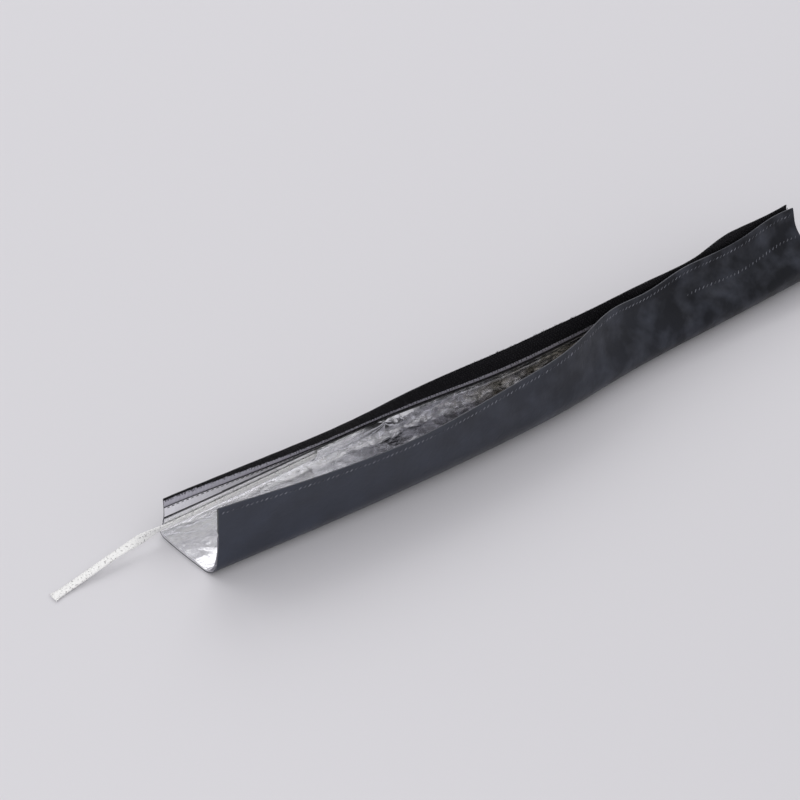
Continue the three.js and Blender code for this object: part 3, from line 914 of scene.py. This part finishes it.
start_shape()
bpy.ops.mesh.primitive_circle_add(vertices=4, radius=0.13, fill_type="NGON", location=(0, 0, 0))
bpy.ops.object.mode_set(mode="EDIT")
bpy.ops.mesh.select_all(action="SELECT")
bpy.ops.mesh.extrude_region_move(TRANSFORM_OT_translate={"value": (0, 0.06, 0.75)})
bpy.ops.mesh.spin(steps=4, angle=math.radians(-205), center=(0, 0.42, 0.75), axis=(1, 0, 0))
bpy.ops.mesh.select_all(action="SELECT")
bpy.ops.mesh.normals_make_consistent(inside=False)
hook_points, hook_faces = take_shape()
print("one hook:", len(hook_points), "points, height", round(float(hook_points[:, 2].max()), 2), "mm")

# %% Model one loop of the pile and one stitch
start_shape()
bpy.ops.mesh.primitive_torus_add(major_segments=8, minor_segments=4, major_radius=0.45, minor_radius=0.07,
                                 rotation=(math.pi / 2, 0, 0))
bpy.ops.object.mode_set(mode="EDIT")
bpy.ops.mesh.select_all(action="SELECT")
bpy.ops.mesh.bisect(plane_co=(0, 0, -0.15), plane_no=(0, 0, 1), clear_inner=True, use_fill=True)
loop_points, loop_faces = take_shape()

start_shape()
bpy.ops.mesh.primitive_uv_sphere_add(segments=6, ring_count=5, radius=1.0, rotation=(0, math.pi / 2, 0))
bpy.ops.object.mode_set(mode="EDIT")
bpy.ops.mesh.select_all(action="SELECT")
bpy.ops.transform.resize(value=(1.0, 0.24, 0.24))
stitch_points, stitch_faces = take_shape()
print("one loop:", len(loop_faces), "faces, one stitch:", len(stitch_faces), "faces")


# %% Copy a shape along the sheet
def sew_copies(name, shape, s, u, d, turns, sizes, finish, inward=1.0, lean=None):
    """Stands a copy at each (s, u, d): its X along the sleeve, Y round the sheet, Z out of its face."""
    points, faces = shape
    wave = common_wave(s, u)
    place = sheet_at(s, u, d + wave)
    along = sheet_at(s + 0.5, u, d + wave) - sheet_at(s - 0.5, u, d + wave)
    along /= np.linalg.norm(along, axis=1)[:, None]
    up = sheet_frame(s, u)[1] * inward
    round_way = np.cross(up, along)
    round_way /= np.linalg.norm(round_way, axis=1)[:, None]
    cos, sin = np.cos(turns)[:, None], np.sin(turns)[:, None]
    axis_x = along * cos + round_way * sin
    axis_y = round_way * cos - along * sin
    if lean is not None:
        up = up + lean[:, None] * axis_x
        up /= np.linalg.norm(up, axis=1)[:, None]
    local = points[None, :, :] * sizes[:, None, None]
    spread = (
        place[:, None, :] + local[..., 0:1] * axis_x[:, None, :]
        + local[..., 1:2] * axis_y[:, None, :] + local[..., 2:3] * up[:, None, :]
    )
    every = []
    for copy in range(len(s)):
        every += [[i + copy * len(points) for i in face] for face in faces]
    piece = finish_mesh(name, spread.reshape(-1, 3), every, angle=70.0)
    piece.data.materials.append(finish)
    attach(piece, "root")
    print(name, "has", len(s), "copies and", sum(len(f) - 2 for f in every), "triangles")
    return piece


rng = np.random.default_rng(4)
hook_s, hook_u = [], []
for i, s in enumerate(np.arange(tape_setback + 1.0, sleeve_length - tape_setback - 0.5, 1.55)):
    low = float(jacket_back_edge(s)) + selvedge + 0.6 + bare_at_mouth * (1 - float(smooth_step(s, 10, 130)))
    high = sheet_width - 0.55
    count = max(2, int(round((high - low) / 1.45)))
    for k in range(count + 1):
        hook_s.append(s + (0.75 if k % 2 else 0.0) + rng.uniform(-0.15, 0.15))
        hook_u.append(low + (high - low) * k / count + rng.uniform(-0.12, 0.12))
hook_s, hook_u = np.array(hook_s), np.array(hook_u)
turns = np.where(rng.random(len(hook_s)) < 0.5, 0.0, math.pi) + rng.uniform(-0.5, 0.5, len(hook_s))
sizes = rng.uniform(0.85, 1.12, len(hook_s))
hook_d = np.full_like(hook_s, -layer_gap - 0.03)
hooks = sew_copies("hooks", (hook_points, hook_faces), hook_s, hook_u, hook_d, turns, sizes, hook_nylon,
                   lean=rng.uniform(-0.3, 0.3, len(hook_s)))
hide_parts("hook_tape")

# %% [markdown]
# The tape's cut threads stand out of its top edge as fluff. A thin cone of three sides is enough for
# one, because a few hundred of them only ever show as a soft, uneven line.

# %% Fluff along the hook tape's edge
start_shape()
bpy.ops.mesh.primitive_cone_add(vertices=3, radius1=0.08, radius2=0.0, depth=1.0, location=(0, 0, 0.4))
bpy.ops.object.mode_set(mode="EDIT")
bpy.ops.mesh.select_all(action="SELECT")
bpy.ops.mesh.subdivide(number_cuts=1)
fluff_points, fluff_faces = take_shape()
tufts = rng.uniform(tape_setback + 2, sleeve_length - tape_setback - 2, 150)
count = 1200
fluff_s = np.clip(rng.choice(tufts, count) + rng.normal(0, 0.9, count), 1.0, sleeve_length - 1.0)
fluff_u = sheet_width - rng.uniform(0.0, 0.5, count)
fluff = sew_copies("hook_tape_fluff", (fluff_points, fluff_faces), fluff_s, fluff_u,
                   np.full(count, -layer_gap - 0.1), rng.uniform(0.9, 2.2, count),
                   rng.uniform(0.8, 1.9, count), hook_nylon, lean=rng.uniform(0.3, 1.6, count))
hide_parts("hook_tape")

# %% Grow the pile
count = 2300
loop_s = rng.uniform(1.0, sleeve_length - 1.0, count)
loop_u = rng.uniform(loop_tape_margin + selvedge + 0.3, loop_tape_edge - selvedge - 0.3, count)
loops = sew_copies("loop_pile", (loop_points, loop_faces), loop_s, loop_u,
                   np.full(count, foil_face + tape_base + 0.1), rng.uniform(0, math.pi, count),
                   rng.uniform(0.75, 1.05, count), pile_nylon, lean=rng.uniform(-0.6, 0.6, count))
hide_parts("loop_tape")

# %% [markdown]
# ### The seams
# Lockstitch shows on both sides of the sheet. On the outside of the front wall two rows hold
# the loop tape, and at the back two rows hold the hook tape. A stitch is about 2.6 mm long.

# %% Sew the tapes on
stitch_pitch = 2.6
front_rows = (3.6, 15.8)


def seam(name, u_of_s, depth, side, thread, slant=0.0):
    """side is -1 for thread on the outer face. depth may change along the sleeve."""
    s = np.arange(2.5, sleeve_length - 2.0, stitch_pitch)
    u = u_of_s(s)
    depth = depth(s) if callable(depth) else depth
    turns = slant + rng.uniform(-0.12, 0.12, len(s))
    piece = sew_copies(name, (stitch_points, stitch_faces), s, u, depth + 0 * s, turns,
                       rng.uniform(0.85, 1.1, len(s)), thread, inward=side)
    return piece


proud = 0.02
seam("front_seam_upper", lambda s: np.full_like(s, front_rows[0]), -proud, -1.0, seam_thread, slant=0.7)
seam("front_seam_lower", lambda s: np.full_like(s, front_rows[1]),
     lambda s: 0.36 - 0.38 * smooth_step(s, 296, 306), -1.0, seam_thread, slant=0.7)
seam("back_seam_lower", lambda s: np.full_like(s, hook_tape_edge + 1.3),
     -layer_gap - tape_base - proud, -1.0, dark_thread)
seam("back_seam_inner", lambda s: jacket_back_edge(s) - 0.5, jacket_thickness + proud, 1.0, dark_thread)

# %% [markdown]
# ## Floor and light
# A plain pale floor under soft light. An even sky gives most of it. The key panel behind and to the
# left puts the front wall in shade, so the shadow falls towards the viewer. The mirror panel stands
# where the foil's floor reflects it to the camera, and the mouth panel lights the near end.

# %% Floor
bpy.ops.object.select_all(action="DESELECT")
bpy.ops.mesh.primitive_plane_add(size=6.0, location=(0, 0, -0.0004))
floor = bpy.context.object
floor.name = "floor"
paper, shader = new_material("matt_paper", "#DCDBDE", 0.9)
shader.inputs["Specular IOR Level"].default_value = 0.1
floor.data.materials.append(paper)


# %% Light
def soft_panel(name, location, size, power):
    data = bpy.data.lights.new(name, "AREA")
    data.shape = "RECTANGLE"
    data.size, data.size_y = size
    data.energy = power
    lamp = bpy.data.objects.new(name, data)
    lamp.location = location
    way = -lamp.location.normalized()
    lamp.rotation_euler = way.to_track_quat("-Z", "Y").to_euler()
    collection.objects.link(lamp)


soft_panel("key_panel", (-0.6, 1.5, 1.5), (1.4, 1.4), 5.0)
soft_panel("mirror_panel", (1.02, 1.34, 1.41), (1.5, 1.5), 10.0)
soft_panel("mouth_panel", (-1.1, -0.75, 0.75), (0.9, 0.9), 4.5)
world = bpy.data.worlds.new("studio")
world.use_nodes = True
world.node_tree.nodes["Background"].inputs["Color"].default_value = linear("#F5F4F7")
world.node_tree.nodes["Background"].inputs["Strength"].default_value = 0.73
bpy.context.scene.world = world
